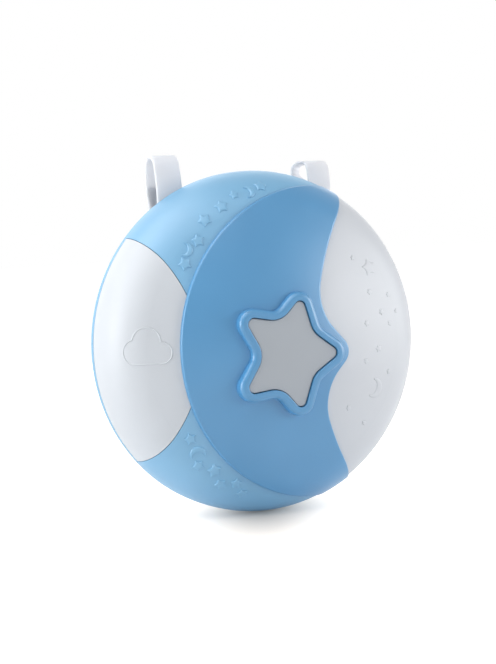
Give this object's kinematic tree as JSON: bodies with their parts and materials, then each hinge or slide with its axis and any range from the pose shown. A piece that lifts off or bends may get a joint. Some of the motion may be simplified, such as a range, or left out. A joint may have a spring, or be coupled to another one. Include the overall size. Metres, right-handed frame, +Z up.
{
  "type": "night light",
  "caption": "Domed crib night light with a crescent cover, a star push button, milky side panels, a rear battery bay and webbing loops that hold it on a rail.",
  "frame": {"origin": "Centre of the flat back, on the axis of the round housing.", "axes": "+Z up, -Y towards the front where the star faces, +X to the right as seen from the front."},
  "size_m": [0.2, 0.074, 0.211],
  "materials": {
    "blue_shell": "satin moulded plastic",
    "blue_cover": "satin moulded plastic",
    "white_panel": "satin milky plastic",
    "white_lens": "satin milky diffuser plastic",
    "grey_star": "fine matte plastic",
    "silicone": "matte silicone",
    "circuit_board": "solder mask",
    "led_package": "moulded package",
    "chip": "moulded package",
    "screw_steel": "zinc plated",
    "blue_rear": "fine textured plastic",
    "cell_jacket": "plain jacket",
    "contact_metal": "nickel plated strip",
    "wire_jacket": "vinyl jacket",
    "switch_black": "moulded plastic",
    "pin_steel": "drawn wire",
    "webbing": "woven webbing",
    "closure_fabric": "hook-and-loop tape"
  },
  "bodies": {
    "housing": {"front_shell": "blue_shell", "crescent_cover": "blue_cover", "left_panel": "white_panel", "right_lens": "white_lens", "rubber_dome": "silicone", "main_board": "circuit_board", "leds": "led_package", "controller_chip": "chip", "board_screws": "screw_steel", "cover_screws": "screw_steel", "shell_screws": "screw_steel", "rear_shell": "blue_rear", "battery_cells": "cell_jacket", "battery_contacts_left": "contact_metal", "battery_contacts_right": "contact_metal", "battery_leads": "wire_jacket", "switch_leads": "wire_jacket", "switch_body": "switch_black", "strap_bar_left": "pin_steel", "strap_bar_right": "pin_steel"},
    "star": {"star_button": "grey_star"},
    "door": {"battery_door": "blue_rear", "battery_door_screw": "screw_steel"},
    "knob": {"switch_knob": "switch_black"},
    "strap_l": {"strap_left": "webbing", "strap_closure_left": "closure_fabric"},
    "strap_r": {"strap_right": "webbing", "strap_closure_right": "closure_fabric"}
  },
  "joints": [
    {"name": "star_press", "type": "slide", "parent": "housing", "child": "star", "axis": [0, 1, 0], "range_m": [0, 0.002], "stiffness_N_per_m": 600, "springref_m": -0.0005, "deforming": ["rubber_dome"]},
    {"name": "power_slide", "type": "slide", "parent": "housing", "child": "knob", "axis": [0, 0, 1], "range_m": [0, 0.005]},
    {"name": "battery_door_swing", "type": "hinge", "parent": "housing", "child": "door", "pos_m": [0, -0.0004, 0.0315], "axis": [1, 0, 0], "range_deg": [0, 75]},
    {"name": "strap_left_swing", "type": "hinge", "parent": "housing", "child": "strap_l", "pos_m": [-0.0481, -0.015, 0.071], "axis": [-1, 0, 0], "range_deg": [0, 75]},
    {"name": "strap_right_swing", "type": "hinge", "parent": "housing", "child": "strap_r", "pos_m": [0.0481, -0.015, 0.071], "axis": [-1, 0, 0], "range_deg": [0, 75]}
  ]
}
